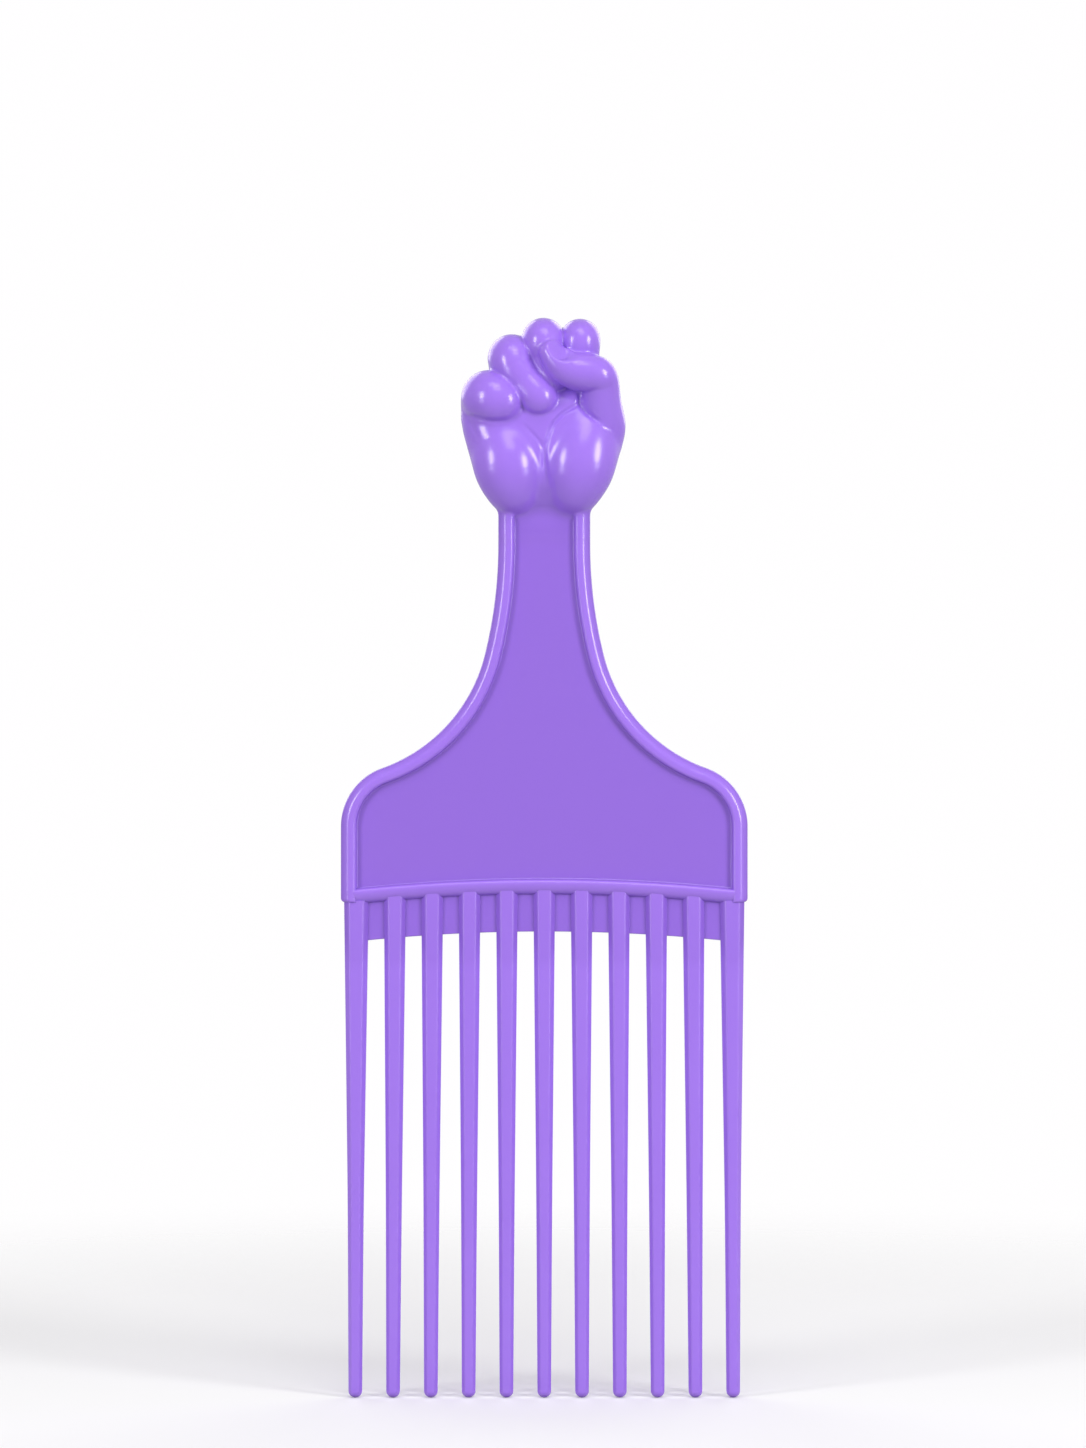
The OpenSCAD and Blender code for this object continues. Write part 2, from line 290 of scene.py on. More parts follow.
def loft(rings: Sequence[Array]) -> tuple[Array, list[list[int]]]:
    """Join closed rings of equal count into a closed skin with flat ends.

    Args:
        rings: each a block of points, all in the same order.

    Returns:
        The points and the faces.
    """
    grid = np.arange(len(rings) * len(rings[0])).reshape(len(rings), -1)
    after = np.roll(grid, -1, 1)
    walls = np.stack([grid[:-1], after[:-1], after[1:], grid[1:]], -1).reshape(-1, 4)
    return np.concatenate(rings), [*walls.tolist(), grid[0, ::-1].tolist(), grid[-1].tolist()]


def turned(faces: Sequence[Sequence[int]]) -> list[Sequence[int]]:
    """The same faces, turning the other way."""
    return [face[::-1] for face in faces]


def rounded_loop(corners: Sequence[Triple], steps: int, guard: float = 0.03) -> Array:
    """Round the corners of a closed outline.

    Args:
        corners: each a place in two numbers and the radius there.
        steps: pieces of each corner's arc.
        guard: distance beside each arc at which a point keeps the flat side flat.

    Returns:
        The points of the rounded outline.
    """
    places = np.array([c[:2] for c in corners], float)
    out = []
    for k, (_, _, radius) in enumerate(corners):
        here = places[k]
        back = places[k - 1] - here
        on = places[(k + 1) % len(places)] - here
        back_length, on_length = np.linalg.norm(back), np.linalg.norm(on)
        back, on = back / back_length, on / on_length
        if radius <= 0:
            out.append(here)
            continue
        half = math.acos(float(np.clip(back @ on, -1, 1))) / 2
        reach = radius / math.tan(half)
        middle = here + (back + on) / np.linalg.norm(back + on) * radius / math.sin(half)
        first, final = here + back * reach, here + on * reach
        if reach + guard < back_length / 2:
            out.append(first + back * guard)
        start, finish = first - middle, final - middle
        sweep = math.atan2(start[0] * finish[1] - start[1] * finish[0], float(start @ finish))
        for j in range(steps + 1):
            turn = sweep * j / steps
            cos, sin = math.cos(turn), math.sin(turn)
            out.append(middle + np.array([cos * start[0] - sin * start[1], sin * start[0] + cos * start[1]]))
        if reach + guard < on_length / 2:
            out.append(final + on * guard)
    return np.array(out)


def mirrored(corners: Sequence[Triple]) -> list[Triple]:
    """The front corners of a section, then the same corners at the back in turn."""
    behind = [(a, -b, r) for a, b, r in reversed(corners) if b > 0]
    return list(corners) + behind


def spline(rows: Array, steps: int) -> Array:
    """Smooth rows of numbers with a curve through each of them.

    Args:
        rows: the rows that the curve passes through.
        steps: pieces between two rows.

    Returns:
        The finer rows, both ends kept.
    """
    padded = np.vstack([2 * rows[0] - rows[1], rows, 2 * rows[-1] - rows[-2]])
    out = []
    for k in range(1, len(rows)):
        a, b, c, d = padded[k - 1:k + 3]
        for j in range(steps):
            t = j / steps
            out.append((2 * b + (c - a) * t + (2 * a - 5 * b + 4 * c - d) * t ** 2
                        + (3 * b - a - 3 * c + d) * t ** 3) / 2)
    out.append(rows[-1])
    return np.array(out)


# Handle


@dataclass(frozen=True)
class HandleOutline:
    """The outer line of the handle's right side, in millimetres, from its foot up to the hand."""

    side_x: float = 35.8
    foot_z: float = -53.509
    rim_foot_z: float = -53.23
    side_top_z: float = -39.909
    side_spare: float = 0.2
    shoulder_r: float = 10.9
    waist_centre: tuple[float, float] = (38.0565, -2.8771)
    waist_r: float = 28.4
    neck_centre: tuple[float, float] = (88.9, 9.8)
    neck_r: float = 80.8
    sweep: float = math.radians(14)
    cut_z: float = 10.5
    arch_z: float = -370.503
    arch_r: float = 320.0
    rib_w: float = 2.6
    side_count: int = 8
    shoulder_count: int = 40
    waist_count: int = 56
    neck_count: int = 24

    @property
    def neck_x(self) -> float:
        """Half the neck's width."""
        return self.neck_centre[0] - self.neck_r

    def line(self, from_z: float) -> tuple[Array, Array]:
        """Places along the outer line and the directions inwards there.

        Args:
            from_z: height at which the line starts.

        Returns:
            The places, and the unit directions towards the inside of the handle.
        """
        shoulder_centre = np.array([self.side_x - self.shoulder_r, self.side_top_z])
        to_waist = np.array(self.waist_centre) - shoulder_centre
        turn = math.atan2(to_waist[1], to_waist[0])
        arcs = [
            (shoulder_centre, self.shoulder_r, np.linspace(0, turn, self.shoulder_count), -1),
            (self.waist_centre, self.waist_r,
             np.linspace(math.pi + turn, math.pi + self.sweep, self.waist_count)[1:], 1),
            (self.neck_centre, self.neck_r,
             np.linspace(math.pi + self.sweep, math.pi, self.neck_count)[1:], 1),
        ]
        heights = np.linspace(from_z, self.side_top_z - self.side_spare, self.side_count)
        places = [np.column_stack([np.full(self.side_count, self.side_x), heights])]
        inwards = [np.tile([-1, 0], (self.side_count, 1))]
        for centre, radius, angles, inward in arcs:
            out = np.column_stack([np.cos(angles), np.sin(angles)])
            places.append(np.array(centre) + radius * out)
            inwards.append(inward * out)
        return np.vstack([*places, [self.neck_x, self.cut_z]]), np.vstack([*inwards, [-1, 0]])

    def arch(self, x: Array | float, r: float) -> Array | float:
        """Height of the arch of radius r at x."""
        return self.arch_z + np.sqrt(r * r - np.square(x))


@dataclass(frozen=True)
class RimSection:
    """The bead's section: s runs inwards from the outer line and t forwards from the middle."""

    land_t: float = 2.2
    middle_r: float = 2.0
    side_s: float = 0.06
    side_t: float = 1.25
    side_r: float = 0.8
    slope_s: float = 1.32
    slope_r: float = 1.4
    inner_s: float = 2.62
    inner_r: float = 0.6
    wall_s: float = 2.80
    panel_t: float = 1.0
    fillet: float = 0.42
    sink: float = 0.02
    steps: int = 8

    def loop(self) -> Array:
        """The closed section, from the outer side round over the front, its inner edge sunk in the panel.

        Returns:
            Rows of s and t.
        """
        foot_t = self.panel_t - self.sink
        front = [
            (self.side_s, self.side_t, self.side_r),
            (self.slope_s, self.land_t, self.slope_r),
            (self.inner_s, self.land_t, self.inner_r),
            (self.wall_s, foot_t, self.fillet),
            (self.wall_s + 2 * self.fillet, foot_t, 0.0),
        ]
        return rounded_loop([(0.0, 0.0, self.middle_r)] + mirrored(front), self.steps)

    def neck_line(self, half_width: float) -> Array:
        """The neck's front right quarter, from its side over the rim to the middle of the panel.

        Args:
            half_width: half the neck's width over both rims.

        Returns:
            Places as x and the distance forwards.
        """
        loop = self.loop()
        raised = loop[(loop[:, 1] > self.panel_t) | ((loop[:, 0] < self.side_t) & (loop[:, 1] >= 0))]
        low, after = raised[-1], loop[len(raised)]
        share = (low[1] - self.panel_t) / (low[1] - after[1])
        foot = low + share * (after - low)
        line = np.vstack([raised, [foot]])
        return np.vstack([np.column_stack([half_width - line[:, 0], line[:, 1]]), [[0.0, self.panel_t]]])


class Side(Enum):
    """The two sides of the handle."""

    LEFT = -1
    RIGHT = 1


@dataclass(frozen=True)
class Rim:
    """One bead along a side of the handle, from its rounded foot up to the hand."""

    outline: HandleOutline
    section: RimSection
    side: Side
    corner_r: float = 0.7
    foot_edge: float = 0.5
    foot_thinning: float = 0.12
    foot_steps: int = 7

    def build(self) -> Object:
        """Make the bead.

        Returns:
            The bead.
        """
        loop = self.section.loop()
        width = loop[:, 0].max()
        rings = []
        for j in range(self.foot_steps):
            turn = math.pi / 2 * j / self.foot_steps
            inset = self.corner_r * (1 - math.sin(turn))
            rise = self.corner_r * (1 - math.cos(turn))
            edge = min(rise / self.foot_edge, 1.0)
            shrink = 1 - self.foot_thinning * (1 - math.sqrt(1 - (1 - edge) ** 2))
            x = self.outline.side_x - (inset + loop[:, 0] * (width - inset) / width)
            z = np.full(len(loop), self.outline.rim_foot_z + rise)
            rings.append(np.column_stack([x, -loop[:, 1] * shrink, z]))
        for place, inward in zip(*self.outline.line(self.outline.rim_foot_z + self.corner_r)):
            xz = place + loop[:, :1] * inward
            rings.append(np.column_stack([xz[:, 0], -loop[:, 1], xz[:, 1]]))
        points, faces = loft(rings)
        if self.side is Side.LEFT:
            points, faces = points * np.array([-1, 1, 1]), turned(faces)
        return make_piece(f"{self.side.name.lower()}_rim_bead", points, faces)


@dataclass(frozen=True)
class Panel:
    """The thin recessed panel between the rims."""

    outline: HandleOutline
    section: RimSection
    tuck: float = 0.10
    side_rise: float = 1.0
    corner_gap: float = 0.05
    count: int = 61

    def build(self) -> Object:
        """Make the panel.

        Returns:
            The panel.
        """
        places, inwards = self.outline.line(self.outline.foot_z + self.side_rise)
        right = places + (self.section.wall_s + self.tuck) * inwards
        top = self.outline.arch_r + self.outline.rib_w / 2 - self.tuck
        x = np.linspace(-right[0, 0], right[0, 0], self.count)
        bottom = np.column_stack([x, self.outline.arch(x, top)])
        right = right[right[:, 1] > bottom[-1, 1] + self.corner_gap]
        line = np.vstack([bottom, right, right[::-1] * np.array([-1, 1])])
        sheets = [np.full(len(line), y) for y in (self.section.panel_t, -self.section.panel_t)]
        rings = [np.column_stack([line[:, 0], sheet, line[:, 1]]) for sheet in sheets]
        return make_piece("handle_panel_sheet", *loft(rings))


@dataclass(frozen=True)
class CrossRib:
    """The arched rib across the foot of the panel, rounded down along its lower edge."""

    outline: HandleOutline
    section: RimSection
    end_x: float = 34.3
    hidden_from_x: float = 33.1
    hidden_over_x: float = 0.2
    hidden_drop: float = 0.04
    low_share: float = 0.72
    low_t: float = 0.95
    low_power: float = 1.6
    low_count: int = 15
    top_lean: float = 0.12
    top_edge: float = 0.6
    wall_lean: float = 0.04
    sunk_w: float = 0.6
    count: int = 105
    steps: int = 7

    def build(self) -> Object:
        """Make the rib.

        Returns:
            The rib.
        """
        loop = self._loop()
        base = self.outline.arch_r - self.outline.rib_w / 2
        rings = []
        for x in np.linspace(-self.end_x, self.end_x, self.count):
            slope = -x / math.sqrt(base ** 2 - x ** 2)
            up = np.array([-slope, 1]) / math.hypot(slope, 1)
            xz = np.array([x, self.outline.arch(x, base)]) + loop[:, :1] * up
            hidden = min(max((abs(x) - self.hidden_from_x) / self.hidden_over_x, 0.0), 1.0)
            drop = self.hidden_drop * hidden
            front = loop[:, 1] * (1 - drop / self.section.land_t)
            z = np.maximum(xz[:, 1], self.outline.rim_foot_z + drop)
            rings.append(np.column_stack([xz[:, 0], -front, z]))
        return make_piece("cross_rib_bead", *loft(rings))

    def _loop(self) -> Array:
        """The rib's closed section.

        Returns:
            Rows of the rise from its lower edge and the distance forwards.
        """
        width, land = self.outline.rib_w, self.section.land_t
        foot_t = self.section.panel_t - self.section.sink
        rise = self.low_share * width
        power = 2 / self.low_power
        nose = [(rise * (1 - math.sin(a) ** power), self.low_t + (land - self.low_t) * math.cos(a) ** power)
                for a in np.linspace(math.pi / 2, 0, self.low_count)[:-1]]
        sunk = width + self.sunk_w
        top = rounded_loop([(rise, land, 0), (width - self.top_lean, land, self.top_edge),
                            (width + self.wall_lean, foot_t, self.section.fillet),
                            (sunk, foot_t, 0), (sunk, 0, 0)], self.steps)
        front = np.vstack([nose, top[:-1]])
        return np.vstack([front, (front * np.array([1, -1]))[::-1]])


@dataclass(frozen=True)
class RootWeb:
    """The thin web that joins the roots of the teeth below the rib."""

    outline: HandleOutline
    depth: float = 6.6
    half_t: float = 0.75
    edge_r: float = 0.2
    end_x: float = 33.0
    count: int = 81
    steps: int = 5

    def build(self) -> Object:
        """Make the web.

        Returns:
            The web.
        """
        height = self.outline.rib_w / 2 + self.depth
        loop = rounded_loop([(0, -self.half_t, self.edge_r), (0, self.half_t, self.edge_r),
                             (height, self.half_t, 0), (height, -self.half_t, 0)], self.steps)
        rings = []
        for x in np.linspace(-self.end_x, self.end_x, self.count):
            z = self.outline.arch(x, self.outline.arch_r - height) + loop[:, 0]
            rings.append(np.column_stack([np.full(len(loop), x), loop[:, 1], z]))
        points, faces = loft(rings)
        return make_piece("root_web_sheet", points, turned(faces))


# Teeth


@dataclass(frozen=True)
class ToothRow:
    """The eleven tapered teeth, each with flat facets and a round tip."""

    outline: HandleOutline
    count: int = 11
    length: float = 86.9
    root_w: float = 3.85
    edge_root_w: float = 4.3
    mid_w: float = 2.8
    tip_w: float = 2.4
    root_t: float = 3.6
    mid_t: float = 2.8
    tip_t: float = 2.3
    edge_x: float = 33.05
    edge_tip_x: float = 33.25
    edge_rise: float = 0.6
    root_pitch: float = 6.565
    taper_share: float = 0.6
    facet_share: float = 0.56
    root_side: float = 0.9
    mid_side: float = 0.58
    tip_side: float = 0.48
    front_r: float = 0.62
    side_r: float = 0.34
    full_half_w: float = 1.9
    guard: float = 0.025
    ring_count: int = 29
    soften_rounds: int = 6
    tip_steps: int = 8
    corner_steps: int = 5

    def build(self) -> list[Object]:
        """Make all the teeth, from the left to the right."""
        return [self._tooth(number) for number in range(1, self.count + 1)]

    def _tooth(self, number: int) -> Object:
        """Make one tooth.

        Args:
            number: its place in the row, from 1 at the left.

        Returns:
            The tooth.
        """
        middle = (self.count + 1) / 2
        place = number - middle
        edge = abs(place) == middle - 1
        root_x = math.copysign(self.edge_x, place) if edge else place * self.root_pitch
        tip_x = place * 2 * self.edge_tip_x / (self.count - 1)
        width = self.edge_root_w if edge else self.root_w
        foot = self.outline.foot_z
        top = foot + self.edge_rise if edge else self.outline.arch(root_x, self.outline.arch_r)
        mid_z = foot - self.taper_share * self.length
        mid_x = root_x + self.taper_share * (tip_x - root_x)
        tip_z = foot - self.length + self.tip_w / 2
        stations = np.array([
            [top, root_x, width / 2, self.root_t / 2, self.root_side],
            [mid_z, mid_x, self.mid_w / 2, self.mid_t / 2, self.mid_side],
            [tip_z, tip_x, self.tip_w / 2, self.tip_t / 2, self.tip_side]])
        heights = np.linspace(top, tip_z, self.ring_count)
        columns = [np.interp(-heights, -stations[:, 0], stations[:, c]) for c in range(1, 5)]
        rows = np.column_stack([heights, *columns])
        for _ in range(self.soften_rounds):
            rows[1:-1, 1:] = (rows[:-2, 1:] + 2 * rows[1:-1, 1:] + rows[2:, 1:]) / 4
        rings = [self._ring(*row) for row in rows]
        z, x, *half_sizes = rows[-1]
        for j in range(1, self.tip_steps):
            turn = math.pi / 2 * j / self.tip_steps
            shrunk = [size * math.cos(turn) for size in half_sizes]
            rings.append(self._ring(z - self.tip_w / 2 * math.sin(turn), x, *shrunk))
        points, faces = loft(rings)
        return make_piece(f"tooth_{number:02d}_blade", points, turned(faces))

    def _ring(self, z: float, x: float, w: float, t: float, side: float) -> Array:
        """One ring of a tooth with eased corners.

        Args:
            z: its height.
            x: its middle.
            w: half its width.
            t: half its thickness.
            side: half the thickness of its flat sides.

        Returns:
            The ring's points in the row frame.
        """
        flat = self.facet_share * w
        front_r = self.front_r * w / self.full_half_w
        side_r = self.side_r * w / self.full_half_w
        front = [(w, side, side_r), (flat, t, front_r), (-flat, t, front_r), (-w, side, side_r)]
        loop = rounded_loop(mirrored(front), self.corner_steps, self.guard)
        return np.column_stack([x + loop[:, 0], -loop[:, 1], np.full(len(loop), z)])


# Hand


# How far outside flesh its field is worked out, in millimetres.
REACH = 2.5


def blend_min(a: Array, b: Array, width: float) -> Array:
    """Union of two distance fields with a rounded valley of that width."""
    near = np.clip(width - np.abs(a - b), 0, None) / width
    return np.minimum(a, b) - near * near * width / 4


def blend_all(fields: Iterable[Array], width: float) -> Array:
    """Union of several distance fields, blended one after another."""
    return reduce(lambda a, b: blend_min(a, b, width), fields)


@dataclass(frozen=True)
class Lattice:
    """A block of evenly spaced places: x, forward and z, in millimetres."""

    low: Triple
    high: Triple
    step: float

    @property
    def axes(self) -> list[Array]:
        """The coordinates along its three edges."""
        return [np.arange(a, b, self.step, dtype=np.float32) for a, b in zip(self.low, self.high)]

    @property
    def shape(self) -> tuple[int, ...]:
        """How many places it has each way."""
        return tuple(len(axis) for axis in self.axes)

    def part(self, low: Array, high: Array) -> tuple[tuple[slice, ...], tuple[Array, ...]]:
        """The slices of a box in the block, and the box's three coordinates shaped to combine."""
        cut = tuple(slice(int(np.searchsorted(a, lo)), int(np.searchsorted(a, hi)))
                    for a, lo, hi in zip(self.axes, low, high))
        return cut, np.ix_(*(axis[along] for axis, along in zip(self.axes, cut)))

    def all(self) -> tuple[Array, ...]:
        """The three coordinates of the whole block, shaped to combine."""
        return np.ix_(*self.axes)


@dataclass(frozen=True)
class Limb:
    """Round flesh along a smooth middle line, with stations of x, forward, z and radius."""

    stations: tuple[Station, ...]
    squeeze: float = 1.0
    steps: int = 12

    def distance(self, lattice: Lattice) -> Array:
        """Signed distance from a lattice to the flesh.

        Args:
            lattice: the places.

        Returns:
            The distances, capped at the reach outside.
        """
        path = spline(np.array(self.stations, float), self.steps)
        out = np.full(lattice.shape, REACH, np.float32)
        span = path[:, 3:] + REACH
        cut, (x, f, z) = lattice.part((path[:, :3] - span).min(0), (path[:, :3] + span).max(0))
        best = out[cut]
        for a, b in zip(path[:-1], path[1:]):
            dx, df, dz = b[0] - a[0], (b[1] - a[1]) * self.squeeze, b[2] - a[2]
            px, pf, pz = x - a[0], (f - a[1]) * self.squeeze, z - a[2]
            share = np.clip((px * dx + pf * df + pz * dz) / max(dx * dx + df * df + dz * dz, TINY), 0, 1)
            gap = np.sqrt((px - share * dx) ** 2 + (pf - share * df) ** 2 + (pz - share * dz) ** 2)
            np.minimum(best, gap - (a[3] + share * (b[3] - a[3])), out=best)
        return out


@dataclass(frozen=True)
class Palm:
    """The palm as soft-cornered sections, with levels of z, left, right, back, front and squareness."""

    levels: tuple[tuple[float, float, float, float, float, float], ...]
    steps: int = 8
    least_share: float = 1e-4

    def distance(self, lattice: Lattice) -> Array:
        """Signed distance from a lattice to the palm.

        Args:
            lattice: the places.

        Returns:
            The distances, near enough close to the surface.
        """
        x, f, z = lattice.all()
        fine = spline(np.array(self.levels, float), self.steps)
        low, high = fine[0, 0], fine[-1, 0]
        height = np.clip(z, low, high)
        left, right, back, front, power = (
            np.interp(height, fine[:, 0], fine[:, c]).astype(np.float32) for c in range(1, 6))
        half_x, half_f = (right - left) / 2, (front - back) / 2
        u = np.maximum(np.abs(x - (left + right) / 2) / half_x, self.least_share)
        v = np.maximum(np.abs(f - (front + back) / 2) / half_f, self.least_share)
        q = (u ** power + v ** power) ** (1 / power)
        slope = np.hypot(u ** (power - 1) / half_x, v ** (power - 1) / half_f) * q ** (1 - power)
        d = np.maximum((q - 1) / slope, np.maximum(z - high, low - z))
        return np.clip(d, -REACH, REACH).astype(np.float32)


@dataclass(frozen=True)
class Neck:
    """The top of the handle below and inside the hand, from a quarter of its section."""

    line: Array
    top_z: float = 17.0

    def distance(self, lattice: Lattice) -> Array:
        """Signed distance from a lattice to the neck.

        Args:
            lattice: the places.

        Returns:
            The distances.
        """
        x, f, z = lattice.all()
        x, f = np.abs(x[:, :, 0]), np.abs(f[:, :, 0])
        best = np.full(lattice.shape[:2], np.inf)
        below = np.zeros(lattice.shape[:2], int)
        for (ax, af), (bx, bf) in zip(self.line[:-1], self.line[1:]):
            dx, df = bx - ax, bf - af
            share = np.clip(((x - ax) * dx + (f - af) * df) / max(dx * dx + df * df, TINY), 0, 1)
            np.minimum(best, np.hypot(x - ax - share * dx, f - af - share * df), out=best)
            if dx:
                over = (x >= min(ax, bx)) & (x < max(ax, bx))
                below += over & (f < af + (x - ax) * df / dx)
        flat = np.where(below % 2 == 1, -best, best)[:, :, None]
        return np.clip(np.maximum(flat, z - self.top_z), -REACH, REACH).astype(np.float32)


@dataclass(frozen=True)
class Groove:
    """A soft line pressed into the front, with stations of x, z, width and depth."""

    stations: tuple[Station, ...]
    steps: int = 8

    def press(self, lattice: Lattice) -> Array:
        """How deep the line is at each place.

        Args:
            lattice: the places.

        Returns:
            The depths, the same at every distance forwards.
        """
        path = spline(np.array(self.stations, float), self.steps)
        x, _, z = lattice.all()
        x, z = x[:, :, 0], z[:, 0, :]
        nearest = np.full((lattice.shape[0], lattice.shape[2]), np.inf)
        out = np.zeros_like(nearest)
        for a, b in zip(path[:-1], path[1:]):
            (ax, az, *_), (dx, dz, dw, dd) = a, b - a
            share = np.clip(((x - ax) * dx + (z - az) * dz) / max(dx * dx + dz * dz, TINY), 0, 1)
            gap = np.hypot(x - ax - share * dx, z - az - share * dz)
            depth = (a[3] + share * dd) * np.exp(-(gap / (a[2] + share * dw)) ** 2)
            out = np.where(gap < nearest, depth, out)
            nearest = np.minimum(gap, nearest)
        return out[:, None, :].astype(np.float32)


@dataclass(frozen=True)
class Facet:
    """A flat cut across the front, such as a nail: a place, a direction, a radius and a soft edge."""

    place: Triple
    direction: Triple
    radius: float
    ease: float

    def cut(self, field: Array, lattice: Lattice) -> Array:
        """Flatten a field where it stands past the facet's plane.

        Args:
            field: the distances to the uncut flesh.
            lattice: their places.

        Returns:
            The distances to the cut flesh.
        """
        normal = np.array(self.direction) / np.linalg.norm(self.direction)
        x, f, z = (axis - at for axis, at in zip(lattice.all(), self.place))
        height = x * normal[0] + f * normal[1] + z * normal[2]
        away = np.sqrt(x ** 2 + f ** 2 + z ** 2)
        return -blend_min(-field, np.maximum(away - self.radius, 0) - height, self.ease)


@dataclass(frozen=True)
class SmoothField:
    """A distance field on a lattice, read between its places along smooth curves."""

    lattice: Lattice
    values: Array
    least_square: float = 0.05
    longest_pull: float = 0.2

    def at_places(self) -> Array:
        """Read the smooth field at the lattice's own places.

        Returns:
            One value for each place.
        """
        out = self.values
        for axis in range(3):
            padded = np.pad(out, [(1, 1) if k == axis else (0, 0) for k in range(3)], mode="edge")
            before, middle, after = (np.take(padded, range(s, s + out.shape[axis]), axis) for s in range(3))
            out = (before + 4 * middle + after) / 6
        return out

    def read(self, points: Array) -> tuple[Array, Array]:
        """The field and its slope.

        Args:
            points: rows of x, forward and z, in millimetres.

        Returns:
            One value and one slope a row.
        """
        place = (points - self.lattice.low) / self.lattice.step
        base = np.floor(place).astype(int)
        t = place - base
        weights = np.stack([(1 - t) ** 3, 3 * t ** 3 - 6 * t ** 2 + 4,
                            -3 * t ** 3 + 3 * t ** 2 + 3 * t + 1, t ** 3]) / 6
        slopes = np.stack([-(1 - t) ** 2, 3 * t ** 2 - 4 * t, -3 * t ** 2 + 2 * t + 1, t ** 2]) / 2
        top = np.array(self.values.shape) - 1
        value, slope = np.zeros(len(points)), np.zeros((len(points), 3))
        for i, j, k in np.ndindex(4, 4, 4):
            cell = np.clip(base + np.array([i, j, k]) - 1, 0, top)
            here = self.values[cell[:, 0], cell[:, 1], cell[:, 2]]
            wx, wf, wz = weights[i, :, 0], weights[j, :, 1], weights[k, :, 2]
            value += here * wx * wf * wz
            slope[:, 0] += here * slopes[i, :, 0] * wf * wz
            slope[:, 1] += here * wx * slopes[j, :, 1] * wz
            slope[:, 2] += here * wx * wf * slopes[k, :, 2]
        return value, slope / self.lattice.step

    def pull(self, points: Array, level: bool = False) -> Array:
        """Bring points a short way onto the field's zero surface.

        Args:
            points: rows of x, forward and z.
            level: whether each point keeps its height.

        Returns:
            The moved points.
        """
        field, slope = self.read(points)
        if level:
            slope[:, 2] = 0
        square = np.maximum(np.einsum("ij,ij->i", slope, slope), self.least_square)
        move = slope * (field / square)[:, None]
        length = np.linalg.norm(move, axis=1, keepdims=True)
        return points - move * np.minimum(1, self.longest_pull / np.maximum(length, TINY))


